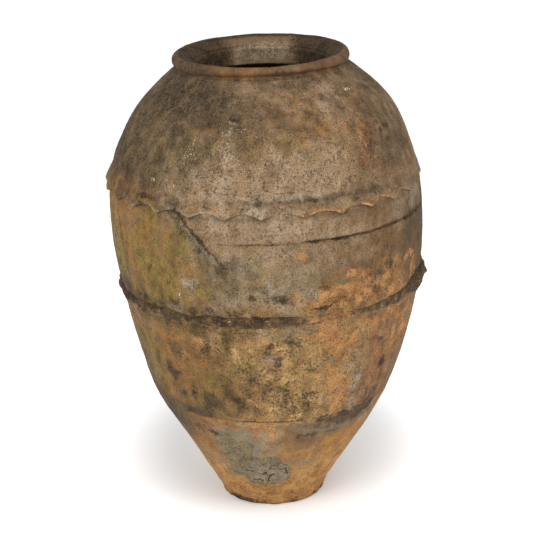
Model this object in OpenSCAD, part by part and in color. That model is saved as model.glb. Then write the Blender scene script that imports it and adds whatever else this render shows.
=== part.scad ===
// Hand-built storage jar of coarse terracotta, raised in courses of slab and coil.
// Millimetres, +Z up, origin on the floor at the middle of the foot, -Y to the front.

/* [Jar] */
// Height from the floor to the crest of the rim
jar_h = 950; // [945:1:965]
// Wall thickness where the foot wall starts
wall_low = 24; // [18:0.5:28]
// Wall thickness at the crease under the rim
wall_high = 18; // [14:0.5:20]

/* [Foot] */
// Diameter of the foot at the floor, before its edge was worn
foot_d = 209; // [200:1:225]
// Thickness of the floor slab
slab_t = 30; // [24:1:36]
// Diameter of the slab's top edge, where the foot wall starts
slab_top_d = 236; // [230:1:245]
// Radius worn on the edge of the foot
foot_wear = 6; // [2:0.5:10]
// Radius of the clay pressed into the inside corner of the floor
heel_cove = 14; // [6:1:20]

/* [Courses] */
// Height of the joint on top of the foot wall
foot_joint_z = 246; // [236:1:256]
// Outside diameter at that joint
foot_joint_d = 493; // [485:1:501]
// Height of the joint on top of the lower wall, hidden by the lower band
band_joint_z = 478; // [468:1:488]
// Outside diameter at that joint
band_joint_d = 617; // [609:1:623]
// Height of the open joint on top of the belly wall
belly_joint_z = 638; // [632:1:644]
// Height of the joint on top of the upper wall, hidden by the upper band
neck_joint_z = 702; // [696:1:708]
// Outside diameter at that joint
neck_joint_d = 628; // [622:1:634]

/* [Swelling between the joints] */
// Height of the flare in the foot wall
flare_z = 114; // [106:1:122]
// Outside diameter there
flare_d = 338; // [330:1:346]
// Height of the swell in the lower wall
swell_z = 351; // [341:1:361]
// Outside diameter there
swell_d = 562; // [554:1:570]
// Height of the widest part of the belly
widest_z = 600; // [590:1:610]
// Outside diameter there
widest_d = 639; // [633:1:645]
// Height where the shoulder turns inwards
turn_z = 775; // [767:1:783]
// Outside diameter there
turn_d = 584; // [576:1:592]
// Height half-way up the slope of the shoulder
slope_z = 850; // [844:1:856]
// Outside diameter there
slope_d = 502; // [494:1:510]

/* [Rim] */
// Height of the crease where the rim sits on the shoulder
crease_z = 922; // [918:1:926]
// Outside diameter of the crease
crease_d = 348; // [342:1:354]
// Outside diameter of the rolled rim
rim_d = 358; // [354:1:366]
// Diameter of the ring along the rim's crest
crest_d = 340; // [330:1:346]
// Diameter of the throat inside the rim
throat_d = 268; // [258:2:280]
// Height where the lip has run down to the throat
lip_z = 924; // [920:1:930]
// Height of the throat's lower end, where the coil was pressed against the inside of the neck
throat_low_z = 897; // [895:1:910]

/* [Upper band] */
// Number of presses of the thumb round the band
press_count = 28; // [20:4:32]
// Height of the band's lowest points
upper_low_z = 686; // [682:1:690]
// Height where the band's top is smoothed into the shoulder
upper_top_z = 738; // [732:1:746]
// How far the band's lip stands off the wall
upper_out = 8; // [5:0.5:10]
// How far each scallop rises between two low points
scallop_rise = 10; // [5:0.5:12]
// Depth of each thumb press above the scallop
press_depth = 4; // [2:0.5:5]

/* [Lower band] */
// Height of the band's middle line
lower_mid_z = 478; // [472:1:484]
// Height of the band itself
lower_tall = 18; // [14:1:22]
// How far the band stands off the wall
lower_out = 7.5; // [5:0.5:9]

/* [Mortar patch] */
// Thickness of the crust of mortar on the foot wall
crust_t = 4; // [2:0.5:6]

/* [Hidden] */
$fn = 128;

// Heights and radii that the outside of the wall passes through
PROFILE = [
    [slab_t, slab_top_d / 2],
    [flare_z, flare_d / 2],
    [foot_joint_z, foot_joint_d / 2],
    [swell_z, swell_d / 2],
    [band_joint_z, band_joint_d / 2],
    [widest_z, widest_d / 2],
    [neck_joint_z, neck_joint_d / 2],
    [turn_z, turn_d / 2],
    [slope_z, slope_d / 2],
    [crease_z, crease_d / 2]
];
LAST = len(PROFILE) - 1;

// Height of one facet of the turned wall, and points on each small curve
facet_h = 18;
curve_n = 10;

// Clay colours
pale_clay = "#b58f68";
olive_clay = "#8f7d4c";
dusty_clay = "#9c8466";
sooty_clay = "#6f6247";
orange_clay = "#a8703f";
dark_stain = "#4f4032";
old_mortar = "#96907e";

// ---- wall outline -------------------------------------------------------

// Slope between two neighbouring knots of the profile
function chord(i) = (PROFILE[i + 1].y - PROFILE[i].y) / (PROFILE[i + 1].x - PROFILE[i].x);
function gap(i) = PROFILE[i + 1].x - PROFILE[i].x;

// Slope of the smooth curve at a knot: the weighted mean of the chords beside it
function knot_slope(i) =
    i == 0 ? chord(0)
    : i == LAST ? 1.5 * chord(LAST - 1) - 0.5 * knot_slope(LAST - 1)
    : (chord(i - 1) * gap(i) + chord(i) * gap(i - 1)) / (gap(i - 1) + gap(i));

// The stretch of the profile that a height lies in
function stretch(z, i = 0) = i == LAST - 1 || z <= PROFILE[i + 1].x ? i : stretch(z, i + 1);

function hermite(t, h, r0, m0, r1, m1) =
    (2 * t ^ 3 - 3 * t ^ 2 + 1) * r0 + (t ^ 3 - 2 * t ^ 2 + t) * h * m0
    + (3 * t ^ 2 - 2 * t ^ 3) * r1 + (t ^ 3 - t ^ 2) * h * m1;

// Outside radius of the wall at a height
function wall_r(z) =
    let (i = stretch(z), h = gap(i))
    hermite((z - PROFILE[i].x) / h, h,
            PROFILE[i].y, knot_slope(i), PROFILE[i + 1].y, knot_slope(i + 1));

function wall_t(z) = wall_low + (wall_high - wall_low) * (z - slab_t) / (crease_z - slab_t);

// A point at a depth under the outside of the wall, square to its surface
function under(z, depth) =
    let (s = (wall_r(z + 0.5) - wall_r(z - 0.5)), n = sqrt(1 + s ^ 2))
    [wall_r(z) - depth / n, z + depth * s / n];

function steps(from, to) = max(2, ceil((to - from) / facet_h));
function heights(from, to) =
    let (n = steps(from, to)) [for (i = [0 : n]) from + (to - from) * i / n];

// Up the outside of a course and down its inside; both ends are cut square to the wall
function course(from, to) =
    let (zs = heights(from, to), n = len(zs) - 1)
    concat([for (z = zs) [wall_r(z), z]],
           [for (i = [n : -1 : 0]) under(zs[i], wall_t(zs[i]))]);

function bezier(a, b, c, d, n = curve_n) =
    [for (i = [0 : n]) let (t = i / n, u = 1 - t)
        u ^ 3 * a + 3 * u ^ 2 * t * b + 3 * u * t ^ 2 * c + t ^ 3 * d];

module turned(outline) {
    rotate_extrude() polygon(outline);
}

// ---- jar, from the floor up ---------------------------------------------

// Flat round slab that the jar stands on, its edge worn round
module base_slab() {
    edge = [foot_d / 2, 0];
    top = [slab_top_d / 2, slab_t];
    flank = edge + (top - edge) * foot_wear / slab_t;
    flat = edge - [foot_wear, 0];
    wear = bezier(flat, (flat + edge) / 2, (flank + edge) / 2, flank);
    color(orange_clay) turned(concat([[0, 0]], wear, [top, [0, slab_t]]));
}

// Flaring wall on the slab, with a cove of clay pressed into the inside corner
module foot_wall() {
    heel = under(slab_t, wall_low);
    color(orange_clay)
        turned(concat(course(slab_t, foot_joint_z), [[heel.x - heel_cove, slab_t]]));
}

module lower_wall() {
    color(pale_clay) turned(course(foot_joint_z, band_joint_z));
}

module belly_wall() {
    color(olive_clay) turned(course(band_joint_z, belly_joint_z));
}

module upper_wall() {
    color(dusty_clay) turned(course(belly_joint_z, neck_joint_z));
}

module shoulder_wall() {
    color(sooty_clay) turned(course(neck_joint_z, crease_z));
}

// Coil folded outwards over the top of the shoulder, with a lip that runs down to the
// throat. Inside, it was pressed down over the last facet of the neck.
module rim() {
    crease = [crease_d / 2, crease_z];
    crest = [crest_d / 2, jar_h];
    seat = under(crease_z, wall_high);
    neck = heights(neck_joint_z, crease_z);
    last_z = neck[len(neck) - 2];
    collar = under(last_z, wall_t(last_z));
    throat_r = throat_d / 2;
    throat_end = [throat_r, throat_low_z];
    roll = (rim_d - crease_d) / 2;
    face = bezier(crease, crease + [1.6 * roll, 5], [rim_d / 2 + 1, jar_h - 7], crest);
    lip = bezier(crest, crest - [14, 0], [throat_r + 1, lip_z + 14], [throat_r, lip_z]);
    under_side = bezier(throat_end, throat_end - [0, 7], [throat_r + 16, collar.y - 4], collar);
    color(orange_clay) turned(concat(face, lip, under_side, [seat]));
}

// Clay strip thumbed on below the shoulder: feathered on top, scalloped along its lower edge
module upper_band() {
    pitch = 360 / press_count;
    half = wall_r(upper_low_z) * sin(pitch / 2);
    scallop_r = (half ^ 2 + scallop_rise ^ 2) / (2 * scallop_rise);
    thumb_r = 18;
    high_z = upper_low_z + scallop_rise;
    lip_r = wall_r(upper_low_z) + upper_out;
    back = heights(upper_low_z, upper_top_z);
    front = concat(
        bezier([wall_r(upper_low_z), upper_low_z], [lip_r, upper_low_z],
               [lip_r + 1, upper_low_z + 8], [lip_r, upper_low_z + 14]),
        bezier([lip_r, upper_low_z + 14], [lip_r - 2, upper_low_z + 28],
               [wall_r(upper_top_z) + 5, upper_top_z - 12], [wall_r(upper_top_z), upper_top_z]));
    color(dusty_clay) difference() {
        turned(concat(front, [for (i = [len(back) - 2 : -1 : 1]) [wall_r(back[i]), back[i]]]));
        for (i = [0 : press_count - 1]) rotate(i * pitch) {
            // scallop between two low points
            translate([0, -wall_r(upper_low_z) + 15, high_z - scallop_r])
                rotate([90, 0, 0]) cylinder(h = 60, r = scallop_r);
            // dent left by the thumb
            translate([0, -lip_r - thumb_r + press_depth, high_z + 12]) sphere(r = thumb_r);
        }
    }
}

// Plain half-round strip that covers the joint between the lower wall and the belly
module lower_band() {
    low = lower_mid_z - lower_tall / 2;
    high = lower_mid_z + lower_tall / 2;
    color(dark_stain) turned(concat(
        bezier([wall_r(low), low], [wall_r(low) + lower_out * 1.4, low],
               [wall_r(high) + lower_out * 1.3, high], [wall_r(high), high]),
        [[wall_r(lower_mid_z), lower_mid_z]]));
}

// Crust of lime mortar smeared over the front of the foot wall
module mortar_patch() {
    // Across, up and radius of each dab, seen from the front
    dabs = [[-20, 92, 44], [18, 88, 34], [-62, 128, 34], [-88, 168, 30]];
    zs = heights(slab_t + 6, foot_joint_z - 14);
    outer = [for (z = zs) under(z, -crust_t)];
    inner = [for (i = [len(zs) - 1 : -1 : 0]) [wall_r(zs[i]), zs[i]]];
    color(old_mortar) intersection() {
        turned(concat(outer, inner));
        for (d = dabs) translate([d.x, 0, d.y])
            rotate([90, 0, 0]) cylinder(h = widest_d / 2, r = d.z);
    }
}

base_slab();
foot_wall();
lower_wall();
belly_wall();
upper_wall();
shoulder_wall();
rim();
upper_band();
lower_band();
mortar_patch();
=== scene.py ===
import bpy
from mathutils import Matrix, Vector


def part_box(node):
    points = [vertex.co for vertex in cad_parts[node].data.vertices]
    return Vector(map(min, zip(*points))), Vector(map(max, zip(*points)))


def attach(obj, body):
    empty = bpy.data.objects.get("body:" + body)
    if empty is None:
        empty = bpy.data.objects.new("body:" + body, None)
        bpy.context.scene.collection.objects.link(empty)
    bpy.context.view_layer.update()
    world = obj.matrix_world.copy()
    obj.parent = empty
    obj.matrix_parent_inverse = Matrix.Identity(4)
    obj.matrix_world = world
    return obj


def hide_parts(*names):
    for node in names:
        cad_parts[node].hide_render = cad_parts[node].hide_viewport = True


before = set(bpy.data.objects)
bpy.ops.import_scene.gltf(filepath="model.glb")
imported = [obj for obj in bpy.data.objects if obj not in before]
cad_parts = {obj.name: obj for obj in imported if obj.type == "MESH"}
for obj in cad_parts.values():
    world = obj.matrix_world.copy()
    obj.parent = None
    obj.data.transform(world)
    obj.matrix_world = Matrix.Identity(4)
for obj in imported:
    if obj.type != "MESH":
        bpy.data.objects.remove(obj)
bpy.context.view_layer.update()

import math

import bpy
import numpy as np
from mathutils import Quaternion, Vector

# ---- base slab ------------------------------------------------------------
# Flat round slab of ochre clay that the jar was built up from and stands on.
# Its edge is worn round and chipped, and dirt and damp have darkened it.

# Every course of the wall is joined square to its surface at these heights
foot_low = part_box("foot_wall")[0].z
foot_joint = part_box("lower_wall")[0].z
band_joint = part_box("belly_wall")[0].z
belly_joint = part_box("belly_wall")[1].z
neck_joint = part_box("upper_wall")[1].z
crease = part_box("shoulder_wall")[1].z

columns = 768
around = np.linspace(-180, 180, columns, endpoint=False)


def through(places, values):
    """Smooth curve through points, as a function of the place."""
    places, values = np.asarray(places, float), np.asarray(values, float)
    slopes = np.gradient(values, places)

    def curve(where):
        where = np.clip(where, places[0], places[-1])
        k = np.clip(np.searchsorted(places, where) - 1, 0, len(places) - 2)
        gap = places[k + 1] - places[k]
        t = (where - places[k]) / gap
        return ((2 * t**3 - 3 * t**2 + 1) * values[k] + (t**3 - 2 * t**2 + t) * gap * slopes[k]
                + (3 * t**2 - 2 * t**3) * values[k + 1] + (t**3 - t**2) * gap * slopes[k + 1])

    return curve


def felt(height):
    """Radius of the plain jar at a height, felt from the front with a straight rod."""
    hits = [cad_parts[name].ray_cast(Vector((0, -1, height)), Vector((0, 1, 0)))
            for name in ("base_slab", "foot_wall", "lower_wall", "belly_wall",
                         "upper_wall", "shoulder_wall")]
    return max(-place.y for found, place, _, _ in hits if found)


rods = np.linspace(0.009, crease - 0.0005, 53)
wall_radius = through(rods, [felt(height) for height in rods])

# The jar was built by eye: it leans a few millimetres one way and then the other
lean = through([0, 0.05, 0.11, 0.16, 0.23, 0.34, 0.45, 0.56, 0.64, 0.75, 0.83, 0.90, 0.95],
               [-0.003, -0.003, 0, 0.002, 0.001, 0.004, 0.005, 0.002, 0, -0.002, 0.002, 0.0015, -0.002])


def wall_slope(height):
    return (wall_radius(height + 0.001) - wall_radius(height - 0.001)) / 0.002


def place(azimuth, radius, height):
    """Points of the jar in space, with its lean and its shape a little out of round."""
    turn = np.radians(azimuth)
    squeeze = 1 + 0.0035 * np.sin(2 * turn + 5 * height) * np.clip(radius / 0.2, 0, 1)
    return np.stack([radius * squeeze * np.sin(turn) + lean(height),
                     -radius * squeeze * np.cos(turn), height + 0 * turn], -1)


def spots(azimuth, radius, height):
    """Where the noise is read, on the jar as it would be with no lean."""
    turn = np.radians(azimuth)
    return np.stack([radius * np.sin(turn), -radius * np.cos(turn), height + 0 * turn], -1)


def noise(points, size, seed):
    """Smooth random field from 0 to 1; size is about the width of one blotch."""
    spot = points / size + seed * 7.31
    cell = np.floor(spot).astype(np.int64)
    part = spot - cell
    part = part * part * (3 - 2 * part)
    total = 0.0
    for corner in range(8):
        step = np.array([corner & 1, corner >> 1 & 1, corner >> 2 & 1])
        key = (cell + step) @ np.array([73856093, 19349663, 83492791]) + seed * 2654435761
        key = ((key ^ (key >> 13)) * 1274126177) & 0x7FFFFFFF
        key = ((key ^ (key >> 15)) * 668265263) & 0x7FFFFFFF
        total = total + np.prod(np.where(step, part, 1 - part), axis=-1) * (key >> 11) / 0xFFFFF
    return total


def layered(points, size, seed, levels=3):
    """Noise with finer noise on it, each level half the size and half the strength."""
    total = sum(noise(points, size / 2**k, seed + 17 * k) / 2**k for k in range(levels))
    return total / sum(0.5**k for k in range(levels))


def ramp(value, start, end):
    t = np.clip((value - start) / (end - start), 0, 1)
    return t * t * (3 - 2 * t)


def apart(azimuth, centre):
    """Degrees from a centre line, the short way round."""
    return (azimuth - centre + 180) % 360 - 180


# What lies on the clay or has worn off it, and in some places painted light and shade.
# Each stain is a layer, its azimuth and height in degrees and millimetres, its half width and half height,
# and its strength.
layers = ("ochre", "cream", "brown", "rust", "grey", "moss", "soot", "pale", "bare", "dark", "fleck")
stains = []


def stain(layer, azimuth, height, wide, tall, strength=1.0):
    stains.append((layer, azimuth, height, wide, tall, strength))


def weather(azimuth, height, spot):
    """How much of each layer covers the clay at each place, from 0 to 1."""
    bends = [[layered(spot, size, seed) - 0.5 for seed in (51, 52)] for size in (0.1, 0.035, 0.012)]
    cover = {layer: np.zeros(azimuth.shape) for layer in layers}
    for layer, centre, middle, wide, tall, strength in stains:
        reach = min(wide * 5.2, tall)
        aside, along = bends[0] if reach > 50 else bends[1] if reach > 14 else bends[2]
        u = apart(azimuth + 2.2 * min(wide, 30) * aside, centre) / wide
        v = (height * 1000 + 2.2 * min(tall, 100) * along - middle) / tall
        cover[layer] = np.maximum(cover[layer], strength * np.exp(-0.7 * (u * u + v * v) ** 1.5))
    runs = layered(spot * (1, 1, 0.12), 0.014, 53) - 0.5
    for n, layer in enumerate(layers):
        mottle = layered(spot, 0.02, 80 + n) - 0.5
        c = cover[layer]
        blotchy = 1.6 if layer in ("soot", "grey") else 4.5
        streaky = 5.0 if layer in ("moss", "ochre", "rust") else 2.0
        cover[layer] = np.clip(c + c * (1 - c) * (blotchy * mottle + streaky * runs), 0, 1)
    return cover


def open_joint(azimuth):
    """How wide the joint above the belly has opened, round the jar."""
    return (0.55 * ramp(azimuth, -21, -16) * ramp(azimuth, 9, 7)
            + ramp(azimuth, 11, 15) * ramp(azimuth, 84, 72)
            + 0.6 * ramp(azimuth, 132, 138) * ramp(azimuth, 171, 160)
            + 0.5 * ramp(azimuth, -150, -140) * ramp(azimuth, -108, -116))


def relief(azimuth, height, spot, cover):
    """How far the real surface stands off the plain wall, square to it."""
    rise = 0.0026 * (layered(spot, 0.09, 31) - 0.5)
    rise += 0.0012 * (layered(spot, 0.018, 32) - 0.5)
    rise += 0.0007 * (noise(spot * (0.12, 0.12, 1), 0.006, 33) - 0.5)
    rise -= 0.0013 * ramp(noise(spot, 0.0065, 34), 0.74, 0.9)
    rise -= 0.0010 * ramp(cover["bare"], 0.42, 0.55)
    rise += 0.0006 * ramp(cover["dark"], 0.5, 0.7) * noise(spot, 0.004, 35)
    wander = 0.003 * (noise(spot, 0.05, 36) - 0.5)
    rise -= 0.0042 * open_joint(azimuth) * np.exp(-((height - belly_joint - wander) / 0.0022) ** 2)
    return rise


def off_wall(height, stand_off):
    """Radius and height of what stands off the plain wall, square to it."""
    slope = wall_slope(height)
    square = np.sqrt(1 + slope**2)
    return wall_radius(height) + stand_off / square, height - stand_off * slope / square


def skin(azimuth, height):
    """Radius, height and layers of the jar's outside at places on the plain wall."""
    spot = spots(azimuth, wall_radius(height), height)
    cover = weather(azimuth, height, spot)
    return *off_wall(height, relief(azimuth, height, spot, cover)), cover


def solid(name, points, faces, cover, hard_edges=None):
    """Mesh object from points and faces, with the layers as attributes of its points."""
    mesh = bpy.data.meshes.new(name)
    mesh.from_pydata(points.reshape(-1, 3).tolist(), [], [tuple(f) for f in faces])
    mesh.validate()
    mesh.shade_smooth()
    for layer in layers:
        values = np.ascontiguousarray(cover[layer].reshape(-1), np.float32)
        mesh.attributes.new(layer, "FLOAT", "POINT").data.foreach_set("value", values)
    if hard_edges is not None:
        ends = np.zeros(len(mesh.edges) * 2, np.int32)
        mesh.edges.foreach_get("vertices", ends)
        sharp = hard_edges(ends.reshape(-1, 2))
        mesh.attributes.new("sharp_edge", "BOOLEAN", "EDGE").data.foreach_set("value", sharp)
    piece = bpy.data.objects.new(name, mesh)
    bpy.context.scene.collection.objects.link(piece)
    return piece


def turned(name, azimuth, radius, height, cover, hard=(), poles=()):
    """Closed turned wall: rings of points up the outside and down the inside.
    poles are the heights of its two ends on the axis, if it is a disc and not a ring."""
    rows, cols = radius.shape
    points = place(azimuth, radius, height).reshape(-1, 3)
    i, j = np.meshgrid(np.arange(rows if not poles else rows - 1), np.arange(cols), indexing="ij")
    up, right = (i + 1) % rows, (j + 1) % cols
    quads = np.stack([i * cols + j, i * cols + right, up * cols + right, up * cols + j], -1)
    faces = quads.reshape(-1, 4).tolist()
    for end, level in enumerate(poles):
        tip, ring = len(points), np.arange(cols) + end * (rows - 1) * cols
        points = np.vstack([points, [[lean(level), 0, level]]])
        fan = [ring, np.roll(ring, -1)] if end else [np.roll(ring, -1), ring]
        faces += np.stack(fan + [np.full(cols, tip)], -1).tolist()
        cover = {layer: np.append(cover[layer].reshape(-1), 0) for layer in layers}
    hard = np.array(list(hard), int) % rows

    def hard_edges(ends):
        row = ends // cols
        return (row[:, 0] == row[:, 1]) & np.isin(row[:, 0], hard)

    return solid(name, points, faces, cover, hard_edges)


class Field:
    """A socket of a material: arithmetic on it adds Math nodes, make() any other node."""

    def __init__(self, tree, socket=None):
        self.tree, self.socket = tree, socket

    def make(self, kind, settings=None, inputs=None, out=0):
        node = self.tree.nodes.new(kind)
        for key, value in (settings or {}).items():
            setattr(node, key, value)
        for key, value in (inputs or {}).items():
            if isinstance(value, Field):
                self.tree.links.new(value.socket, node.inputs[key])
            else:
                node.inputs[key].default_value = value
        return Field(self.tree, node.outputs[out])

    def math(self, operation, *values):
        return self.make("ShaderNodeMath", {"operation": operation}, dict(enumerate(values)))

    def __add__(self, other):
        return self.math("ADD", self, other)

    def __sub__(self, other):
        return self.math("SUBTRACT", self, other)

    def __rsub__(self, other):
        return self.math("SUBTRACT", other, self)

    def __mul__(self, other):
        return self.math("MULTIPLY", self, other)

    __radd__ = __add__
    __rmul__ = __mul__

    def step(self, start, end):
        """0 below start, 1 above end and smooth between them."""
        return self.make("ShaderNodeMapRange", {"interpolation_type": "SMOOTHSTEP"},
                         {0: self, 1: start, 2: end})

    def between(self, first, second):
        """A colour between two, by this field."""
        return self.make("ShaderNodeMix", {"data_type": "RGBA"}, {0: self, 6: first, 7: second}, 2)


def paint(code):
    """Linear colour from a mixing-chart code such as 'a88c70'."""
    parts = [int(code[k:k + 2], 16) / 255 for k in (0, 2, 4)]
    return [p / 12.92 if p <= 0.04045 else ((p + 0.055) / 1.055) ** 2.4 for p in parts] + [1.0]


# Two tones of each layer: fired clay, washes, growths, soot and crusts
tones = {
    "clay": ("7d6448", "a88c6c"), "ochre": ("8a5a26", "bb8846"), "cream": ("a8824e", "dab076"),
    "brown": ("553c24", "80603c"), "rust": ("74452b", "9a6644"), "grey": ("6b6654", "8e8770"),
    "moss": ("66562a", "8f7c3f"), "soot": ("3d3326", "63523c"), "pale": ("94806a", "b8a68c"),
    "bare": ("8f5d34", "c8965f"), "dark": ("2b2117", "57452e"), "fleck": ("a89c82", "cdc3a8"),
}
# The mottling of the fired clay: dark, light, and where it shows through worn skin
blotch_tones = ("4a371f", "755836", "6b4e2e")


def weathered(name, speckle=1.0, mottled=0.3):
    """Coarse terracotta under its layers, from the attributes of the mesh."""
    finish = bpy.data.materials.new(name)
    finish.use_nodes = True
    tree = finish.node_tree
    tree.nodes.clear()
    start = Field(tree)
    spot = start.make("ShaderNodeTexCoord", out="Object")

    def grain(scale, detail, stretch=(1, 1, 1), rough=0.6):
        where = start.make("ShaderNodeVectorMath", {"operation": "MULTIPLY"}, {0: spot, 1: stretch})
        found = start.make("ShaderNodeTexNoise", None,
                           {"Vector": where, "Scale": scale, "Detail": detail, "Roughness": rough})
        return (found - 0.5) * 2.4 + 0.5

    broad = grain(42, 5)
    fine = grain(190, 4, rough=0.7)
    runs = grain(95, 3, (1, 1, 0.18))
    wiped = grain(120, 3, (0.12, 0.12, 1.3))
    specks = grain(420, 2)

    def wash(under, layer, breaks, tone):
        """A film that lets some of the clay through and lies unevenly."""
        mask = start.make("ShaderNodeAttribute", {"attribute_name": layer}, out="Fac")
        cover = mask + mask * (1 - mask) * (breaks - 0.5) * 4.4
        first, second = (paint(code) for code in tones[layer])
        return cover.between(under, tone.between(first, second))

    def crust(under, layer, breaks, tone, reach=0.9):
        """Spots with an edge: a crust on the clay, or a place where its skin is gone."""
        mask = start.make("ShaderNodeAttribute", {"attribute_name": layer}, out="Fac")
        cover = (mask * 0.92 + (breaks - 0.5) * reach).step(0.4, 0.62) * mask.step(0.02, 0.12)
        first, second = (paint(code) for code in tones[layer])
        return cover.between(under, tone.between(first, second)), cover

    first, second = (paint(code) for code in tones["clay"])
    mix = (broad * 0.45 + fine * 0.35 + runs * 0.2).step(0.2, 0.8)
    look = mix.between(first, second)
    look = wash(look, "ochre", broad * 0.5 + runs * 0.5, fine * 0.4 + broad * 0.6)
    look = wash(look, "cream", runs * 0.4 + fine * 0.6, broad.step(0.2, 0.8))
    look = wash(look, "brown", runs * 0.5 + fine * 0.5, (1 - broad).step(0.1, 0.9))
    look = wash(look, "rust", runs * 0.7 + fine * 0.3, broad.step(0.2, 0.8))
    look = wash(look, "grey", broad * 0.5 + fine * 0.5, (1 - fine) * 0.5 + runs * 0.5)
    look = wash(look, "moss", runs * 0.5 + fine * 0.5, (broad * 0.5 + runs * 0.5).step(0.25, 0.75))
    look = wash(look, "soot", (1 - broad) * 0.15 + fine * 0.85, (fine * 0.5 + runs * 0.5).step(0.3, 0.8))
    look = wash(look, "pale", runs * 0.4 + fine * 0.6, (broad * 0.5 + fine * 0.5).step(0.25, 0.75))
    blotch = (fine * 0.6 + broad * 0.4).step(0.56, 0.72) * mottled
    deep_blotch, light_blotch, blotch_on_bare = (paint(code) for code in blotch_tones)
    look = blotch.between(look, specks.between(deep_blotch, light_blotch))
    look, worn = crust(look, "bare", (1 - fine) * 0.7 + broad * 0.3,
                       (broad * 0.4 + fine * 0.6).step(0.2, 0.8), 1.1)
    look = (blotch * 0.6).between(look, blotch_on_bare)
    look, dirt = crust(look, "dark", fine * 0.6 + specks * 0.4,
                       (specks * 0.5 + broad * 0.5).step(0.2, 0.8), 1.7)
    look, _ = crust(look, "fleck", specks * 0.6 + fine * 0.4, fine.step(0.2, 0.8), 1.15)
    shade = ((fine - 0.5) * 0.98 + (specks - 0.5) * 0.95 + (broad - 0.5) * 0.28
             + (wiped - 0.5) * 0.06) * speckle + 0.99
    look = start.make("ShaderNodeMix", {"data_type": "RGBA", "blend_type": "MULTIPLY"},
                      {0: 1.0, 6: look, 7: start.make("ShaderNodeCombineColor", None,
                                                      {0: shade, 1: shade, 2: shade})}, 2)
    height = fine * 0.55 + specks * 0.35 + wiped * 0.1 + dirt * 0.3 - worn * 0.3
    bump = start.make("ShaderNodeBump", None, {"Strength": 0.8, "Distance": 0.0012, "Height": height})
    shader = start.make("ShaderNodeBsdfPrincipled", None,
                        {"Base Color": look, "Roughness": 0.86 + (fine - 0.5) * 0.1 - dirt * 0.05,
                         "Normal": bump, "Specular IOR Level": 0.25})
    tree.links.new(shader.socket, tree.nodes.new("ShaderNodeOutputMaterial").inputs["Surface"])
    return finish


def finished(piece, material, *nodes, slot):
    """Gives a piece its material and its place in the frame."""
    piece.data.materials.append(material)
    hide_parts(*nodes)
    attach(piece, "root")


stain("ochre", 0, 40, 400, 180, 0.9)
stain("ochre", 0, 300, 400, 200, 0.5)
stain("bare", 0, 50, 400, 90, 0.42)
stain("cream", 0, 50, 400, 60, 0.3)
stain("brown", 0, 400, 400, 260, 0.3)
stain("dark", 0, 420, 400, 330, 0.2)
stain("dark", -44, 4, 26, 9, 0.9)
stain("dark", -8, 1, 34, 4, 0.8)
stain("rust", 30, 3, 30, 5, 0.6)
stain("dark", 66, 5, 14, 6, 0.6)
stain("dark", 160, 3, 60, 6, 0.7)
stain("dark", -140, 3, 40, 6, 0.5)

slab_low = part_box("base_slab")[0].z
slab_flat = 0.0985
flat_rows = np.linspace(0.012, slab_flat, 9)
side_rows = np.linspace(0.006, foot_low, 13)
az, z = np.meshgrid(around, side_rows)
side_r, side_z, cover = skin(az, z)
edge = np.linspace(0, 1, 6)[1:-1, None]
edge_r = slab_flat + (side_r[:1] - slab_flat) * np.sin(edge * math.pi / 2)
edge_z = side_z[:1] * (1 - np.cos(edge * math.pi / 2))
flat_r = flat_rows[:, None] + 0 * az[:1]
top_rows = np.array([0.117, 0.098, 0.075, 0.05, 0.025, 0.012])[:, None]
top_r = np.minimum(top_rows, side_r[-1:] - 0.001) + 0 * az[:1]
slab_r = np.vstack([flat_r, edge_r, side_r, top_r])
slab_z = np.vstack([0 * flat_r + slab_low, edge_z, side_z, 0 * top_r + foot_low])
slab_az = np.broadcast_to(around, slab_r.shape)
spot = spots(slab_az, slab_r, slab_z)
edge_only = ramp(slab_z, 0.0002, 0.002)
chips = ramp(layered(spot, 0.022, 41), 0.62, 0.72) * edge_only * ramp(slab_z, 0.02, 0.008)
slab_r = slab_r - 0.004 * chips
cover = weather(slab_az, slab_z, spot)
base_slab = turned("jar_base_slab", slab_az, slab_r, slab_z, cover,
                   hard=[len(flat_rows) + 4 + len(side_rows) - 1], poles=(slab_low, foot_low))
finished(base_slab, weathered("slab_clay", 0.6, 0.2), "base_slab", slot="foot_clay")

# ---- foot wall ------------------------------------------------------------
# Flaring wall of the same ochre clay, coiled on to the slab and wiped smooth,
# with a cove of clay pressed into the inside corner. Below the joint it is plain.

stain("brown", -10, 205, 16, 18, 0.5)
stain("bare", -3, 212, 12, 14, 0.5)
stain("cream", -5, 240, 18, 9, 0.8)
stain("brown", 32, 212, 24, 24, 0.8)
stain("grey", 30, 216, 18, 18, 0.55)
stain("dark", 22, 203, 14, 7, 0.55)
stain("dark", 36, 240, 19, 8, 1.0)
stain("dark", 40, 243, 16, 6, 0.95)
stain("dark", 52, 238, 7, 13, 0.95)
stain("dark", 44, 222, 14, 9, 0.6)
stain("rust", -33, 165, 2.2, 5, 1.0)
stain("dark", -40, 214, 9, 14, 0.45)
stain("dark", -33, 205, 6, 10, 0.5)
stain("rust", -30, 232, 8, 9, 0.5)
# Painted shade down the jar's left edge, low down, laid as soot.
stain("soot", -72, 215, 16, 80, 0.9)
stain("ochre", -38, 225, 14, 24, 0.95)
stain("brown", -38, 228, 12, 18, 0.85)
stain("dark", 42, 231, 16, 8, 0.7)
stain("soot", 38, 256, 14, 12, 0.5)
stain("brown", 0, 188, 14, 16, 0.5)
stain("soot", 38, 228, 17, 12, 0.8)
stain("brown", 40, 215, 22, 30, 0.6)
stain("brown", 9, 200, 16, 32, 0.8)
stain("brown", -42, 165, 22, 40, 0.4)
stain("bare", -3, 225, 9, 16, 0.55)
# Painted shade down the jar's left edge, laid as dark and brown.
stain("dark", -64, 240, 10, 50, 0.5)
stain("brown", -62, 240, 18, 70, 0.8)
stain("dark", -6, 247, 32, 1.8, 0.75)
stain("pale", -5, 200, 8, 22, 0.35)
stain("grey", -22, 182, 10, 36, 0.95)
stain("grey", -14, 150, 14, 30, 0.9)
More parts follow.
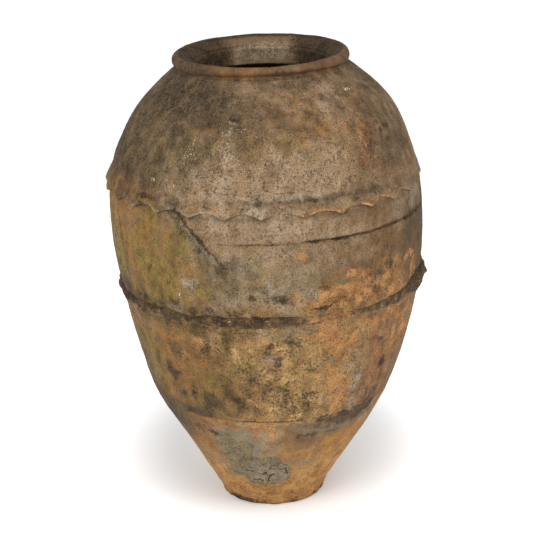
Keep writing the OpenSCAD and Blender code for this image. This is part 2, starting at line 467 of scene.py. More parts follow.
stain("grey", -46, 116, 16, 20, 0.55)
stain("grey", -30, 92, 14, 20, 0.6)
stain("grey", 16, 122, 12, 16, 0.5)
stain("cream", 28, 110, 14, 34, 0.35)
stain("rust", 54, 112, 5, 16, 0.4)
stain("grey", 150, 120, 30, 30, 0.4)
stain("brown", 170, 215, 50, 24, 0.6)
stain("dark", -120, 236, 20, 9, 0.5)

wall_foot, wall_neck = 0.024, 0.018


def fine_rows(low, high):
    """Heights of the rings up the outside, closer together beside the two joints."""
    close = np.array([0, 0.0009, 0.0018, 0.0028, 0.004])
    between = np.linspace(low + 0.0055, high - 0.0055, int((high - low - 0.011) / 0.0026) + 1)
    return np.concatenate([low + close, between, (high - close)[::-1]])


def inside_of(height):
    """Radius and height of the inside of the wall, square under a place on its outside."""
    thick = wall_foot + (wall_neck - wall_foot) * (height - foot_low) / (crease - foot_low)
    return off_wall(height, -thick)


def course(name, low, high, heel=None):
    """One course of the wall, weathered outside and left as pressed by the hand inside."""
    outer = fine_rows(low, high)
    az, z = np.meshgrid(around, outer)
    out_r, out_z, cover = skin(az, z)
    inner = np.linspace(high, low, max(6, int((high - low) / 0.011)))
    az_in, z_in = np.meshgrid(around, inner)
    in_r, in_z = inside_of(z_in)
    spot = spots(az_in, in_r, in_z)
    ends = ramp(z_in, low, low + 0.02) * ramp(z_in, high, high - 0.02)
    in_r = in_r + ends * (0.004 * (layered(spot * (0.5, 0.5, 1), 0.03, 61) - 0.5))
    if heel is not None:
        bend = np.linspace(0, math.pi / 2, 5)[1:, None]
        in_r = np.vstack([in_r[:-1], in_r[-1:] - heel * (1 - np.cos(bend))])
        in_z = np.vstack([in_z[:-1], low + heel * (1 - np.sin(bend)) + 0 * in_z[-1:]])
    radius, height = np.vstack([out_r, in_r]), np.vstack([out_z, in_z])
    dusty_inside = {"cream": 0.35, "grey": 0.35}
    cover = {layer: np.vstack([cover[layer], np.full(in_r.shape, dusty_inside.get(layer, 0.0))])
             for layer in layers}
    last = len(outer) - 1
    return turned(name, np.broadcast_to(around, radius.shape), radius, height, cover,
                  hard=[0, last, last + 1, len(radius) - 1])


foot_wall = course("jar_foot_wall", foot_low, foot_joint, heel=0.014)
finished(foot_wall, weathered("foot_clay", 0.6, 0.2), "foot_wall", slot="foot_clay")

# ---- lower wall -----------------------------------------------------------
# The first tall course, of paler clay. Water has run down it and left lime, lichen
# and iron stains, and it is mottled all over with dark growth.

stain("cream", 6, 340, 30, 125, 0.95)
stain("cream", 10, 290, 28, 55, 1.0)
stain("cream", -15, 432, 7, 28, 0.95)
stain("ochre", -38, 350, 24, 140, 0.95)
stain("ochre", -66, 410, 20, 90, 0.7)
stain("ochre", 50, 400, 15, 90, 0.6)
stain("bare", 24, 430, 9, 46, 0.95)
stain("bare", 48, 452, 16, 18, 0.7)
stain("cream", 44, 446, 22, 24, 0.6)
stain("cream", 0, 300, 12, 22, 1.0)
stain("bare", 28, 335, 9, 75, 0.72)
stain("bare", -31, 385, 7, 38, 0.45)
stain("bare", 60, 425, 14, 60, 0.7)
stain("moss", -55, 462, 10, 24, 0.85)
stain("moss", -72, 370, 20, 120, 0.6)
stain("moss", -16, 380, 7, 70, 0.5)
stain("moss", -34, 455, 12, 22, 0.5)
stain("dark", -28, 450, 4, 20, 0.8)
stain("dark", -26, 428, 3, 14, 0.6)
stain("brown", -32, 340, 26, 95, 0.6)
stain("brown", 24, 350, 60, 95, 0.24)
stain("moss", -6, 350, 44, 100, 0.14)
stain("moss", -24, 300, 12, 50, 0.4)
# Painted shade at the jar's left edge, laid as soot.
stain("soot", -70, 300, 12, 40, 0.6)
stain("soot", -26, 285, 6, 18, 0.4)
stain("dark", -28, 285, 6, 22, 0.8)
stain("dark", -35, 312, 8, 25, 0.5)
stain("dark", -15, 300, 6, 30, 0.5)
stain("brown", -34, 300, 10, 50, 0.7)
stain("soot", -40, 262, 12, 20, 0.6)
stain("dark", -39, 262, 10, 18, 0.66)
stain("dark", -22, 262, 8, 9, 0.45)
stain("dark", -45, 340, 6, 22, 0.6)
stain("dark", -22, 345, 3, 12, 0.5)
stain("dark", -12, 312, 4, 28, 0.55)
stain("dark", -16, 385, 3, 14, 0.5)
stain("dark", -40, 395, 5, 18, 0.55)
stain("dark", -2, 422, 4, 12, 0.6)
stain("dark", 3, 397, 4, 8, 0.6)
stain("dark", 8, 432, 4, 18, 0.55)
stain("dark", 11, 296, 7, 10, 0.4)
stain("dark", 8, 336, 7, 12, 0.45)
stain("dark", 14, 366, 5, 12, 0.4)
stain("dark", 20, 300, 4, 26, 0.4)
stain("dark", -4, 345, 40, 95, 0.44)
for streak in (37, 43, 50, 55, 61, 69):
    stain("brown", streak, 325, 0.9, 90, 0.75)
stain("brown", -20, 345, 8, 60, 0.45)
stain("pale", 0, 398, 4, 7, 0.8)
stain("grey", 23, 386, 3, 14, 0.75)
stain("grey", 35, 345, 2.5, 58, 0.5)
stain("pale", 37, 318, 5, 48, 0.65)
stain("pale", 24, 300, 5, 26, 0.45)
# Painted shade at the jar's left edge, laid as soot.
stain("soot", -66, 330, 9, 70, 0.6)
stain("grey", 36, 325, 3, 14, 0.95)
stain("grey", 53, 418, 3.5, 12, 1.0)
stain("grey", 4, 452, 10, 14, 0.5)
stain("moss", -62, 300, 16, 70, 0.5)
stain("soot", 38, 240, 19, 9, 0.85)
stain("brown", -45, 452, 50, 26, 0.65)
stain("dark", -40, 459, 48, 12, 0.52)
stain("brown", 58, 350, 5, 100, 0.6)
stain("brown", 40, 330, 3, 90, 0.6)
stain("rust", 46, 345, 7, 110, 0.6)
stain("rust", 42, 285, 5, 40, 0.6)
stain("rust", 56, 300, 8, 60, 0.5)
stain("dark", 47, 400, 1.8, 9, 0.95)
stain("dark", 46, 286, 2, 10, 0.8)
stain("dark", 52, 340, 2, 14, 0.7)
stain("dark", 50, 270, 6, 14, 0.7)
stain("brown", 74, 320, 15, 90, 0.7)
stain("moss", 165, 380, 40, 110, 0.7)
stain("ochre", 110, 350, 30, 120, 0.7)
stain("ochre", -110, 350, 30, 120, 0.7)
stain("cream", -150, 380, 24, 90, 0.7)
stain("dark", 130, 300, 30, 50, 0.35)
stain("rust", -140, 330, 8, 100, 0.5)

lower_wall = course("jar_lower_wall", foot_joint, band_joint)
finished(lower_wall, weathered("pale_clay", 1.0, 0.8), "lower_wall", slot="pale_clay")

# ---- belly wall -----------------------------------------------------------
# The widest course. Moss has dyed its left side, the skin of the clay has flaked off
# on the right, and a crust of dirt runs down across the middle.

stain("ochre", -53, 575, 21, 100, 0.9)
stain("moss", -48, 560, 18, 95, 0.75)
stain("brown", -36, 610, 8, 60, 0.4)
stain("moss", -32, 622, 7, 40, 0.6)
stain("moss", -78, 560, 20, 90, 0.6)
stain("dark", -62, 600, 4, 50, 0.4)
stain("brown", -44, 560, 2.5, 60, 0.6)
stain("brown", -53, 535, 2.5, 50, 0.6)
stain("dark", -40, 512, 9, 18, 0.42)
stain("moss", -24, 545, 7, 30, 0.6)
stain("ochre", -64, 640, 16, 70, 0.8)
stain("grey", -2, 550, 20, 40, 0.45)
stain("pale", 0, 522, 12, 24, 0.45)
stain("pale", 0, 541, 5, 14, 0.8)
stain("brown", 12, 540, 5, 20, 0.5)
stain("grey", -14, 590, 8, 26, 0.75)
stain("dark", -15, 588, 5, 14, 0.45)
stain("dark", -7, 530, 1.6, 6, 0.9)
stain("dark", 4, 522, 2, 8, 0.8)
stain("dark", 9, 514, 2, 8, 0.8)
stain("dark", 0, 535, 18, 40, 0.36)
stain("dark", 18, 548, 4, 16, 0.5)
stain("bare", 11.5, 613, 1.9, 15, 1.0)
# Partly dirt and partly painted shade: dark and brown just above the lower band on the left.
stain("dark", -45, 497, 50, 11, 0.5)
stain("brown", -40, 500, 50, 16, 0.6)
stain("soot", 72, 560, 12, 90, 0.7)
# Painted shade at the jar's left edge, laid as soot.
stain("soot", -70, 490, 14, 40, 0.85)
stain("ochre", 40, 528, 34, 46, 0.75)
stain("cream", 36, 520, 30, 34, 0.45)
stain("moss", -6, 560, 22, 60, 0.25)
stain("pale", 0, 610, 18, 40, 0.35)
stain("brown", 66, 520, 12, 60, 0.7)
stain("dark", 48, 540, 26, 60, 0.34)
stain("brown", 50, 602, 30, 34, 0.85)
stain("brown", 28, 575, 12, 26, 0.65)
stain("brown", 82, 555, 20, 80, 0.75)
stain("bare", 27, 520, 15, 34, 0.95)
stain("bare", 46, 520, 14, 34, 0.75)
stain("bare", 64, 515, 9, 28, 0.6)
stain("bare", 31, 562, 6, 13, 0.85)
stain("bare", 47, 560, 3, 11, 0.9)
stain("bare", 61, 558, 5, 11, 0.9)
stain("cream", 46, 512, 8, 20, 0.5)
stain("dark", 19, 500, 2.6, 4, 1.0)
stain("dark", 26, 492, 7, 5, 0.35)
stain("bare", 24, 504, 9, 12, 1.0)
stain("fleck", -34, 524, 0.6, 7, 0.9)
stain("pale", -30, 553, 2.4, 9, 1.0)
stain("pale", -21, 500, 4, 8, 0.85)
stain("pale", -35, 496, 3.4, 7, 0.8)
stain("soot", -18, 582, 8, 22, 0.6)
for t in np.linspace(0, 1, 24):
    stain("dark", -33 + 18 * t, 697 - 108 * t, 0.75, 5, 0.8)
    stain("dark", -36 + 18 * t, 692 - 108 * t, 1.5, 10, 0.42)
    stain("grey", -35.5 + 18 * t, 692 - 108 * t, 2.0, 12, 0.6)
stain("dark", -6, 638, 13, 2.2, 0.7)
stain("dark", 30, 638, 18, 3.4, 0.85)
stain("dark", 62, 640, 15, 5, 0.9)
stain("soot", 63, 644, 11, 13, 0.7)
stain("bare", -140, 560, 24, 50, 0.9)
stain("moss", 160, 560, 34, 100, 0.9)
stain("brown", 120, 580, 24, 60, 0.6)
stain("dark", 150, 638, 16, 4, 0.8)
stain("dark", -130, 638, 18, 4, 0.7)

belly_wall = course("jar_belly_wall", band_joint, belly_joint)
finished(belly_wall, weathered("mossy_clay", 1.0, 0.5), "belly_wall", slot="mossy_clay")

# ---- upper wall -----------------------------------------------------------
# Short course between the open joint and the thumbed band, dusty and pinkish grey.

stain("bare", 12.5, 655, 0.9, 20, 0.62)
stain("pale", -2, 668, 22, 24, 0.4)
stain("pale", 62, 672, 9, 22, 0.3)
stain("brown", 52, 668, 26, 34, 0.55)
# Painted shadow under the left end of the upper band, laid as dark.
stain("dark", -44, 694, 16, 6, 0.55)
stain("brown", -60, 690, 24, 14, 0.5)
stain("brown", 100, 670, 30, 40, 0.6)
# Painted shadow under the lip of the upper band, laid as soot.
stain("soot", 5, 687, 50, 6, 0.5)

upper_wall = course("jar_upper_wall", belly_joint, neck_joint)
finished(upper_wall, weathered("dusty_clay", 0.8), "upper_wall", slot="dusty_clay")

# ---- shoulder wall --------------------------------------------------------
# The last course closes in to the neck. Soot and grime lie on its slope, thickest
# towards the rim and down the left side, with pale runs where rain has washed it.

stain("soot", 170, 925, 130, 78, 0.85)
stain("soot", -62, 925, 46, 78, 0.85)
stain("soot", 20, 950, 60, 60, 0.5)
stain("soot", -40, 890, 32, 52, 0.95)
stain("moss", -58, 800, 26, 60, 0.35)
stain("soot", 66, 885, 12, 34, 0.7)
stain("pale", 36, 880, 8, 26, 0.35)
stain("pale", 0, 728, 22, 11, 0.5)
stain("soot", -40, 727, 9, 14, 0.5)
stain("soot", -20, 838, 18, 24, 0.45)
stain("brown", -5, 800, 16, 26, 0.4)
stain("rust", 28, 865, 24, 44, 0.32)
stain("ochre", 10, 850, 60, 60, 0.18)
stain("soot", -86, 800, 44, 125, 0.85)
stain("soot", -66, 888, 24, 50, 1.0)
stain("soot", -50, 724, 15, 14, 0.6)
stain("moss", -20, 840, 60, 60, 0.16)
stain("soot", 160, 830, 60, 90, 0.7)
stain("soot", 64, 800, 18, 60, 0.55)
stain("dark", -20, 835, 30, 45, 0.25)
stain("dark", 10, 850, 70, 70, 0.25)
stain("soot", 18, 718, 36, 8, 0.6)
stain("pale", -15, 765, 2.5, 62, 0.5)
stain("pale", 6, 762, 3, 28, 0.6)
stain("pale", 0, 765, 30, 40, 0.2)
stain("fleck", -45, 745, 1.2, 4, 0.6)
stain("fleck", -38, 750, 1.2, 4, 0.55)
stain("fleck", -35, 742, 0.8, 3, 0.6)
stain("fleck", 54, 893, 4, 3, 0.45)
stain("fleck", -22, 815, 22, 36, 0.14)
stain("rust", -20, 855, 5, 16, 0.35)
stain("rust", 14, 873, 1.2, 9, 0.7)
stain("rust", 44, 790, 4, 40, 0.5)
stain("bare", 44, 806, 2.6, 36, 0.85)
stain("rust", -62, 755, 8, 32, 0.65)
stain("brown", 60, 760, 26, 60, 0.6)
stain("dark", 56, 815, 1.7, 6, 0.9)
stain("dark", 60, 821, 1.5, 5, 0.9)
stain("dark", 55, 830, 1.5, 5, 0.9)
stain("dark", 58, 795, 1.7, 6, 0.9)
stain("dark", 75, 770, 2.5, 6, 0.8)
stain("dark", 18, 717, 34, 5, 0.42)
stain("dark", 1, 717, 4, 6, 0.5)
stain("dark", 26, 719, 4.5, 7, 0.5)
stain("dark", 41, 716, 3.5, 6, 0.5)
stain("dark", -48, 712, 8, 5, 0.5)

shoulder_wall = course("jar_shoulder_wall", neck_joint, crease)
finished(shoulder_wall, weathered("sooty_clay", 1.2), "shoulder_wall", slot="sooty_clay")

# ---- rim ------------------------------------------------------------------
# A thick coil folded outwards over the top of the shoulder and pressed down inside
# the neck. It was wiped round with a wet hand, which left rings on the lip, and the
# crease under it was filled with clay, more in front than at the back.

rim_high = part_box("rim")[1].z
crease_r, crest_r, rim_out = 0.174, 0.170, 0.179
throat_r, lip_low, throat_low = 0.134, 0.924, 0.897

stain("brown", 0, 936, 400, 30, 0.3)
stain("rust", 0, 940, 400, 22, 0.3)
stain("rust", -50, 938, 26, 22, 0.55)
stain("ochre", -18, 938, 30, 18, 0.85)
stain("cream", 2, 938, 10, 12, 0.35)
stain("soot", -84, 934, 22, 26, 0.5)
stain("dark", 14, 934, 8, 10, 0.4)
stain("rust", 52, 940, 28, 20, 0.65)
# Painted shadow: a dark line in the crease under the rim.
stain("dark", 0, 921, 80, 4, 0.5)
stain("soot", 175, 951, 70, 10, 0.8)
stain("rust", -130, 951, 30, 6, 0.7)
stain("rust", 110, 951, 24, 7, 0.6)
stain("soot", 110, 940, 36, 30, 0.5)


def lay(cover, layer, amount):
    """Adds to a layer where there is less of it."""
    cover[layer] = np.maximum(cover[layer], amount)


def bent(a, b, c, d, t):
    """Curve from a to d, pulled towards b and c."""
    return (1 - t) ** 3 * a + 3 * (1 - t) ** 2 * t * b + 3 * (1 - t) * t**2 * c + t**3 * d


turn = np.radians(around)
ring = spots(around, 0.17, 0)
fill_turns = [-180, -120, -90, -60, -30, 0, 35, 60, 90, 130, 180]
fill = through(fill_turns, [0.003, 0.003, 0.002, 0.003, 0.0065, 0.009, 0.009, 0.007, 0.005, 0.003, 0.003])
filled = (fill(around) + 0.003 * (layered(ring, 0.04, 71) - 0.5))[None]
tip = 0.0005 - 0.0018 * np.cos(turn) + 0.0011 * np.sin(turn) + 0.0016 * (layered(ring, 0.07, 70) - 0.5)
top = rim_high - 0.001 + tip[None]
t = np.linspace(0, 1, 22)[:, None]
face_r = bent(crease_r - 0.9 * filled, crease_r + 0.007 - 0.3 * filled, rim_out + 0.002,
              crest_r + 0 * filled, t)
face_z = bent(crease + filled, crease + 0.003 + filled, top - 0.006, top, t)
t = np.linspace(0, 1, 26)[1:, None]
lip_r = bent(crest_r, crest_r - 0.014, throat_r + 0.001, throat_r, t) + 0 * filled
lip_h = bent(top, top, lip_low + 0.014, lip_low, t)
throat = np.linspace(lip_low - 0.003, throat_low, 10)[:, None] + 0 * filled
collar_r, collar_z = inside_of(np.array(crease - (crease - neck_joint) / 13))
t = np.linspace(0, 1, 10)[1:, None]
under_r = bent(throat_r, throat_r, throat_r + 0.016, collar_r, t) + 0 * filled
under_z = bent(throat_low, throat_low - 0.007, collar_z - 0.004, collar_z, t) + 0 * filled
seat_r, seat_z = inside_of(np.array(crease))
start_r, start_z, _ = skin(around[None], np.full((1, columns), crease))
rim_r = np.vstack([start_r, face_r, lip_r, throat_r + 0 * throat, under_r, seat_r + 0 * filled])
rim_z = np.vstack([start_z, face_z, lip_h, throat, under_z, seat_z + 0 * filled])
az = np.broadcast_to(around, rim_r.shape)
spot = spots(az, rim_r, rim_z)
row = np.arange(len(rim_r))[:, None]
loose = ramp(row, 0, 4) * ramp(row, 66, 56)
push = 0.0026 * (layered(spot, 0.05, 72) - 0.5) + 0.0014 * (layered(spot, 0.014, 73) - 0.5)
push -= 0.0016 * ramp(layered(spot, 0.016, 74), 0.68, 0.78) * ramp(np.abs(apart(az, 0)), 95, 70)
rings = 0.0008 * np.sin(rim_r * 1500 + 3.0 * layered(spot * (1, 1, 0.4), 0.1, 75)) * ramp(row, 22, 28)
out = np.stack([np.gradient(rim_z, axis=0), -np.gradient(rim_r, axis=0)], 0)
out = out / np.maximum(np.hypot(out[0], out[1]), 1e-9)
rim_r = rim_r + loose * (push + rings) * out[0]
rim_z = rim_z + loose * (push + rings) * out[1]
cover = weather(az, rim_z, spot)
# Painted light and shade inside the neck: the back of the throat is painted like a pool of light, and its
# sides and the inner lip beside them like the shadows of the rim.
lip, deep = ramp(row, 21, 28) + 0 * az, ramp(row, 33, 43) + 0 * az
back = ramp(np.abs(apart(az, 180) + 14 * (layered(spot, 0.03, 77) - 0.5)), 42, 24)
swept = layered(spot * (0.25, 0.25, 1), 0.008, 76)
# Painted light: the back of the throat is kept clear of soot, brown and rust.
for layer in ("soot", "brown", "rust"):
    cover[layer] = cover[layer] * (1 - 0.8 * back * ramp(row, 24, 34))
# Painted light: pale and grey, mostly on the back wall of the throat.
lay(cover, "pale", lip * (0.05 + 0.4 * back * deep) * ramp(swept, 0.35, 0.65)
    * (1 - deep * (1 - back)))
lay(cover, "grey", 0.3 * deep * back)
lay(cover, "brown", lip * (0.85 - 0.3 * back) * (1 - 0.6 * deep))
# Painted shadow: soot and dark on the two sides of the throat and the inner lip beside them.
lay(cover, "soot", (0.7 * lip + 0.3 * deep) * (1 - back))
lay(cover, "dark", (1 - back) * np.maximum(1.4 * deep, 0.95 * lip))
lay(cover, "dark", 0.85 * ramp(row, 18, 22) * ramp(row, 33, 27)
    * ramp(np.abs(apart(az, 180)), 100, 70))
rim = turned("jar_rim", az, rim_r, rim_z, cover, hard=[0, len(rim_r) - 2, len(rim_r) - 1])
finished(rim, weathered("rim_clay", 0.7, 0.2), "rim", slot="rim_clay")

# ---- upper band -----------------------------------------------------------
# A clay strip smoothed into the shoulder above and pressed on with the thumb below,
# one press beside the other, so that its lower lip runs round in scallops.

press_count = 28
band_low, band_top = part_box("upper_band")[0].z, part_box("upper_band")[1].z
band_cols = 1120
band_az = np.linspace(-180, 180, band_cols, endpoint=False)[None]
ring = spots(band_az, 0.32, 0)
drift = 2.5 * ramp(band_az, 0, 20) * ramp(band_az, 120, 60) + 3.0 * (noise(ring, 0.12, 91) - 0.5)
phase = (band_az + 1.9 - drift) * press_count / 360
press = np.abs(np.sin(math.pi * phase))
uneven = noise(ring, 0.05, 92)
lip_edge = band_low + (0.008 + 0.005 * uneven) * press + 0.002 * (noise(ring, 0.03, 93) - 0.5)
proud = 0.0075 - 0.004 * ramp(band_az, 45, 75) * ramp(band_az, 140, 100) \
    + 0.0015 * ramp(band_az, -40, -70)
proud = proud * (0.75 + 0.5 * noise(ring, 0.04, 94)) * (1 - 0.5 * press**2)
top_edge = band_top - 0.002 - 0.004 * noise(ring, 0.05, 95)

under = np.linspace(0, 1, 4)[:, None]
curl = np.linspace(0, math.pi / 2, 8)[1:, None]
body = np.linspace(0, 1, 26)[1:, None]
curl_h = 0.0038
off = np.vstack([-0.003 + proud * under,
                 proud - 0.003 + 0.003 * np.sin(curl),
                 proud * (1 - ramp(body, 0, 1)) + 0.0006 * (1 - body)])
rise = np.vstack([lip_edge + 0 * under, lip_edge + curl_h * (1 - np.cos(curl)),
                  lip_edge + curl_h + (top_edge - lip_edge - curl_h) * body])
dent = np.exp(-((rise - lip_edge - 0.013) / 0.009) ** 2) * press**6
dent = dent * ramp(np.arange(len(off))[:, None], 5, 12)
off = off - 0.0036 * dent * (0.6 + 0.8 * uneven)
off = np.vstack([off, np.full((4, 1), -0.0035) + 0 * proud])
dent = np.vstack([dent, np.zeros((4, band_cols))])
back = np.linspace(1, 0, 5)[1:, None]
rise = np.vstack([rise, top_edge * back + lip_edge * (1 - back)])
az = np.broadcast_to(band_az, rise.shape)
spot = spots(az, wall_radius(rise), rise)
cover = weather(az, rise, spot)
row = np.arange(len(off))[:, None]
front = ramp(row, 0, 4) * ramp(row, 36, 34)
off = off + front * (relief(az, rise, spot, cover) + 0.0016 * (layered(spot, 0.01, 96) - 0.5))
face = ramp(row, 3, 6) * ramp(row, 13, 9)
lit = layered(spot, 0.03, 97)
worn = face * 0.85 * (ramp(az, 8, 14) * ramp(az, 54, 46) + 0.6 * ramp(np.abs(apart(az, 165)), 50, 30))
# Partly bare clay and partly painted highlight: a light line along the ridge of the lip on the left.
line = np.exp(-((rise - lip_edge - 0.012) / 0.003) ** 2) * ramp(az, -40, -34) * ramp(az, -8, -13)
lay(cover, "bare", (worn + 0.7 * line) * ramp(lit + 0.25 * (1 - press), 0.42, 0.62))
# Painted highlights: the face of the lip made pale on the left and right, and a pale pad above the front
# press.
pale = face * (ramp(az, -60, -54) * ramp(az, -10, -16) + 0.8 * ramp(az, 46, 52) * ramp(az, 66, 60))
painted_highlight_pad = ramp(row, 4, 8) * ramp(row, 24, 18) * ramp(az, -9, -6) * ramp(az, 2, -1)
lay(cover, "pale", np.maximum(0.6 * pale, 0.7 * painted_highlight_pad))
# Painted shadow on the underside of the lip; the thumb dents are also made darker.
lay(cover, "dark", 0.8 * ramp(row, 4, 2) + 0.6 * dent * (lit > 0.35))
cover["dark"] = np.clip(cover["dark"] * (1 - 0.6 * face * (worn > 0.3)), 0, 1)
upper_band = turned("jar_upper_band", az, *off_wall(rise, off), cover)
finished(upper_band, weathered("band_clay"), "upper_band", slot="dusty_clay")

# ---- lower band -----------------------------------------------------------
# A plain coil laid over the joint below the belly. It has weathered to a crumbling
# dark ridge: thick on the right, broken through where the wall beside it has flaked.

strip_low, strip_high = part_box("lower_band")[0].z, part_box("lower_band")[1].z
turns = [-180, -140, -95, -60, -20, 10, 18, 28, 42, 58, 70, 90, 105, 140, 180]
stand = through(turns, [0.007, 0.0065, 0.0065, 0.0085, 0.009, 0.008, 0.0035, 0.0035, 0.006, 0.008,
                        0.012, 0.012, 0.009, 0.006, 0.007])
half = through(turns, [0.009, 0.009, 0.0095, 0.0105, 0.0105, 0.0095, 0.006, 0.006, 0.008, 0.012,
                       0.019, 0.020, 0.013, 0.009, 0.009])
bend = np.linspace(-math.pi / 2, math.pi / 2, 27)[:, None]
ring = spots(band_az, 0.31, 0)
wave = 0.009 * (layered(ring, 0.06, 101) - 0.5)
mid = (strip_low + strip_high) / 2 + wave + 0.007 * ramp(half(band_az), 0.010, 0.019)
rise = mid + half(band_az) * (0.4 + 1.25 * layered(ring, 0.022, 102)) * np.sin(bend)
az = np.broadcast_to(band_az, rise.shape)
spot = spots(az, wall_radius(rise), rise)
crumbs = layered(spot, 0.014, 103)
flaked = ramp(az, 8, 16) * ramp(az, 50, 36)
gone = ramp(layered(spot * (1, 1, 0.3), 0.035, 104), 0.5, 0.66) * (0.6 + 0.4 * flaked)
off = stand(az) * np.cos(bend) ** 0.8 * (0.5 + 0.9 * layered(spot, 0.03, 105)) + 0.011 * (crumbs - 0.5)
off = off * (1 - 0.9 * gone) - 0.0012 - 0.0018 * np.abs(np.sin(bend)) ** 6
cover = weather(az, rise, spot)
dirt = 0.95 - 0.55 * ramp(az + 8 * (crumbs - 0.5), 5, 15) * ramp(az, 36, 27)
light = layered(spot, 0.01, 106)
lay(cover, "dark", dirt * (0.5 + 0.42 * ramp(light, 0.62, 0.42)))
lay(cover, "rust", 0.4 * dirt * ramp(az, 14, -10))
lay(cover, "brown", 0.8 * dirt)
cover["bare"] = np.maximum(cover["bare"] * (1 - dirt), 0.65 * ramp(az, 8, 17) * ramp(az, 40, 30))
cover["moss"], cover["ochre"] = cover["moss"] * 0.4, cover["ochre"] * 0.6
cover["cream"] = np.maximum(cover["cream"] * 0.4, 0.6 * ramp(light, 0.6, 0.72))
cover["fleck"] = 0.22 * ramp(light, 0.6, 0.75)
inner = np.linspace(1, 0, 5)[1:-1, None]
off = np.vstack([off, np.full((3, 1), -0.005) + 0 * band_az])
rise = np.vstack([rise, rise[-1:] * inner + rise[:1] * (1 - inner)])
cover = {layer: np.vstack([cover[layer], np.zeros((3, band_cols))]) for layer in layers}
lower_band = turned("jar_lower_band", np.broadcast_to(band_az, rise.shape),
                    *off_wall(rise, off), cover)
finished(lower_band, weathered("crumbled_clay", 1.3), "lower_band", slot="stained_clay")

# ---- mortar patch ---------------------------------------------------------
# Lime mortar smeared by hand over the front of the foot wall, long after firing.
# It is a few millimetres thick, grey, cracked, and feathered out over the clay.

dabs = ((-24, 100, 50), (3, 95, 36), (-52, 116, 40), (-74, 156, 40), (-96, 186, 26))
patch_az, patch_z = np.meshgrid(np.arange(-58, 30, 0.42), np.arange(0.046, 0.222, 0.0019))
spot = spots(patch_az, wall_radius(patch_z), patch_z)
thick = np.full(patch_az.shape, -1.0)
for across, up, size in dabs:
    reach = np.hypot(spot[..., 0] * 1000 - across, patch_z * 1000 - up) / size
    thick = np.maximum(thick, 1 - reach)
thick = thick + 1.0 * (layered(spot, 0.035, 111, 4) - 0.5)
cracks = np.abs(layered(spot * (0.7, 0.7, 1.3), 0.022, 112) - 0.5)
core = ramp(np.hypot((spot[..., 0] + 0.008) / 0.055, (patch_z - 0.095) / 0.036), 1.3, 0.6)
base_cover = weather(patch_az, patch_z, spot)
lift = (0.0012 * ramp(thick, 0.0, 0.3) + 0.0026 * core * ramp(thick, 0.1, 0.4)
        - 0.0026 * ramp(thick, 0.1, -0.02))
lift = lift + relief(patch_az, patch_z, spot, base_cover) + core * ramp(thick, 0.1, 0.4) * (
    0.0045 * (layered(spot, 0.013, 113) - 0.5) - 0.0022 * ramp(cracks, 0.035, 0.012))
cells = (lift[:-1, :-1] > -0.0016) | (lift[1:, 1:] > -0.0016)
cells &= ramp(thick, -0.05, 0.0)[:-1, :-1] > 0
rows, cols = patch_az.shape
number = np.arange(rows * cols).reshape(rows, cols)
i, j = np.nonzero(cells)
front_faces = np.stack([number[i, j], number[i, j + 1], number[i + 1, j + 1], number[i + 1, j]], -1)
sides = np.concatenate([front_faces, np.roll(front_faces, -1, axis=1)]).reshape(2, -1, 4)
pairs = set(zip(sides[0].reshape(-1).tolist(), sides[1].reshape(-1).tolist()))
total = rows * cols
faces = front_faces.tolist() + (front_faces[:, ::-1] + total).tolist()
faces += [(b, a, a + total, b + total) for a, b in sorted(pairs) if (b, a) not in pairs]
sunk = 0.005
outer_p = place(patch_az, *off_wall(patch_z, lift))
inner_p = place(patch_az, *off_wall(patch_z, -sunk))
points = np.concatenate([outer_p.reshape(-1, 3), inner_p.reshape(-1, 3)])
faces = np.array(faces)
used, faces = np.unique(faces, return_inverse=True)
faces = faces.reshape(-1, 4)
cover = {layer: np.zeros(patch_az.shape) for layer in layers}
cover["grey"] = 0.85 + 0 * patch_az
cover["moss"] = 0.35 * (1 - core)
cover["cream"] = 0.2 * core + 0.3 * ramp(patch_az, 5, 20)
cover["pale"] = 0.45 * core * ramp(thick, 0.1, 0.4)
cover["dark"] = np.maximum(0.95 * ramp(cracks, 0.05, 0.015) * core, 0.36)
cover = {layer: np.tile(cover[layer].reshape(-1), 2)[used] for layer in layers}
mortar_patch = solid("jar_mortar_patch", points[used], faces, cover)
finished(mortar_patch, weathered("lime_mortar"), "mortar_patch", slot="lime_mortar")
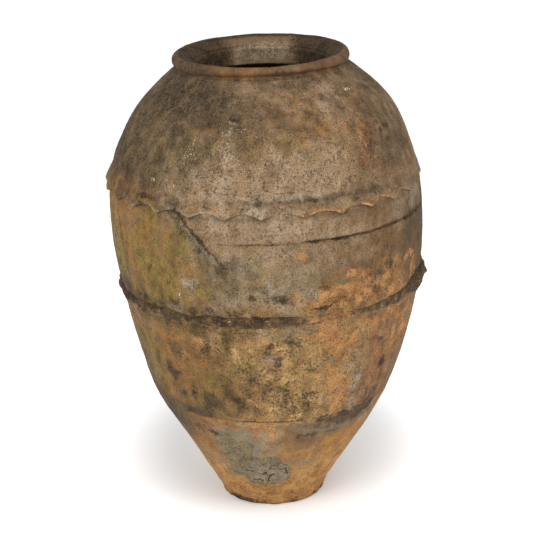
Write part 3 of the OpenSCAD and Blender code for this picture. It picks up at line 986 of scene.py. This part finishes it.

# ---- floor, light and camera ----------------------------------------------
# A white studio floor under two broad soft lights, and white all round. The floor glows, less near the
# jar, which paints a soft shadow round the foot.

floor_radius, floor_sides = 2.6, 96
floor_mesh = bpy.data.meshes.new("floor")
floor_edge = [(floor_radius * math.sin(a), floor_radius * math.cos(a), 0)
              for a in np.linspace(0, -2 * math.pi, floor_sides + 1)[:-1]]
floor_mesh.from_pydata(floor_edge, [], [tuple(range(floor_sides))])
floor = bpy.data.objects.new("floor", floor_mesh)
bpy.context.scene.collection.objects.link(floor)
white = bpy.data.materials.new("floor_glow_painted_shadow")
white.use_nodes = True
sheet = Field(white.node_tree)
white.node_tree.nodes.clear()
spread = sheet.make("ShaderNodeVectorMath", {"operation": "MULTIPLY_ADD"},
                    {0: sheet.make("ShaderNodeTexCoord", out="Object"), 1: (1, 0.7, 0), 2: (0, -0.175, 0)})
painted_shadow_distance = sheet.make("ShaderNodeVectorMath", {"operation": "LENGTH"}, {0: spread}, "Value")
# Painted shadow: the floor glows, and glows less near the jar, so a soft shadow is painted round the foot.
lift = painted_shadow_distance.step(0.2, 0.4) * 0.47 + 0.15
board = sheet.make("ShaderNodeBsdfPrincipled", None, {
    "Base Color": (0.9, 0.9, 0.9, 1), "Roughness": 1.0, "Specular IOR Level": 0.0,
    "Emission Color": sheet.make("ShaderNodeCombineColor", None, {0: lift, 1: lift, 2: lift}),
    "Emission Strength": 1.0})
surface = white.node_tree.nodes.new("ShaderNodeOutputMaterial").inputs["Surface"]
white.node_tree.links.new(board.socket, surface)
floor_mesh.materials.append(white)

world = bpy.data.worlds.new("studio")
bpy.context.scene.world = world
world.use_nodes = True
sky = Field(world.node_tree)
world.node_tree.nodes.clear()
seen = sky.make("ShaderNodeLightPath", out="Is Camera Ray")
glow = sky.make("ShaderNodeBackground", None, {"Color": (1, 1, 1, 1), "Strength": seen * 0.5 + 0.55})
ground = world.node_tree.nodes.new("ShaderNodeOutputWorld")
world.node_tree.links.new(glow.socket, ground.inputs["Surface"])


def soft_light(name, azimuth, elevation, distance, size, power):
    lamp = bpy.data.lights.new(name, "AREA")
    lamp.shape, lamp.size, lamp.energy = "DISK", size, power
    light = bpy.data.objects.new(name, lamp)
    bpy.context.scene.collection.objects.link(light)
    a, e = math.radians(azimuth), math.radians(elevation)
    way = Vector((math.sin(a) * math.cos(e), -math.cos(a) * math.cos(e), math.sin(e)))
    light.location = Vector((0, 0, 0.5)) + way * distance
    light.rotation_euler = (-way).to_track_quat("-Z", "Y").to_euler()


soft_light("left_light", -36, 34, 4.2, 2.4, 46)
soft_light("right_light", 34, 48, 4.2, 2.0, 56)

camera_data = bpy.data.cameras.new("camera")
camera_data.lens, camera_data.sensor_width = 119.4, 36
camera_data.shift_x = 0.012
camera = bpy.data.objects.new("camera", camera_data)
bpy.context.scene.collection.objects.link(camera)
tilt = math.radians(18.02)
aim = Vector((0, 0, 0.475))
camera.location = aim + 3.8 * Vector((0, -math.cos(tilt), math.sin(tilt)))
look = (aim - camera.location).to_track_quat("-Z", "Y")
camera.rotation_euler = (look @ Quaternion((0, 0, 1), math.radians(-1.83))).to_euler()
bpy.context.scene.camera = camera
bpy.context.scene.view_settings.view_transform = "Standard"
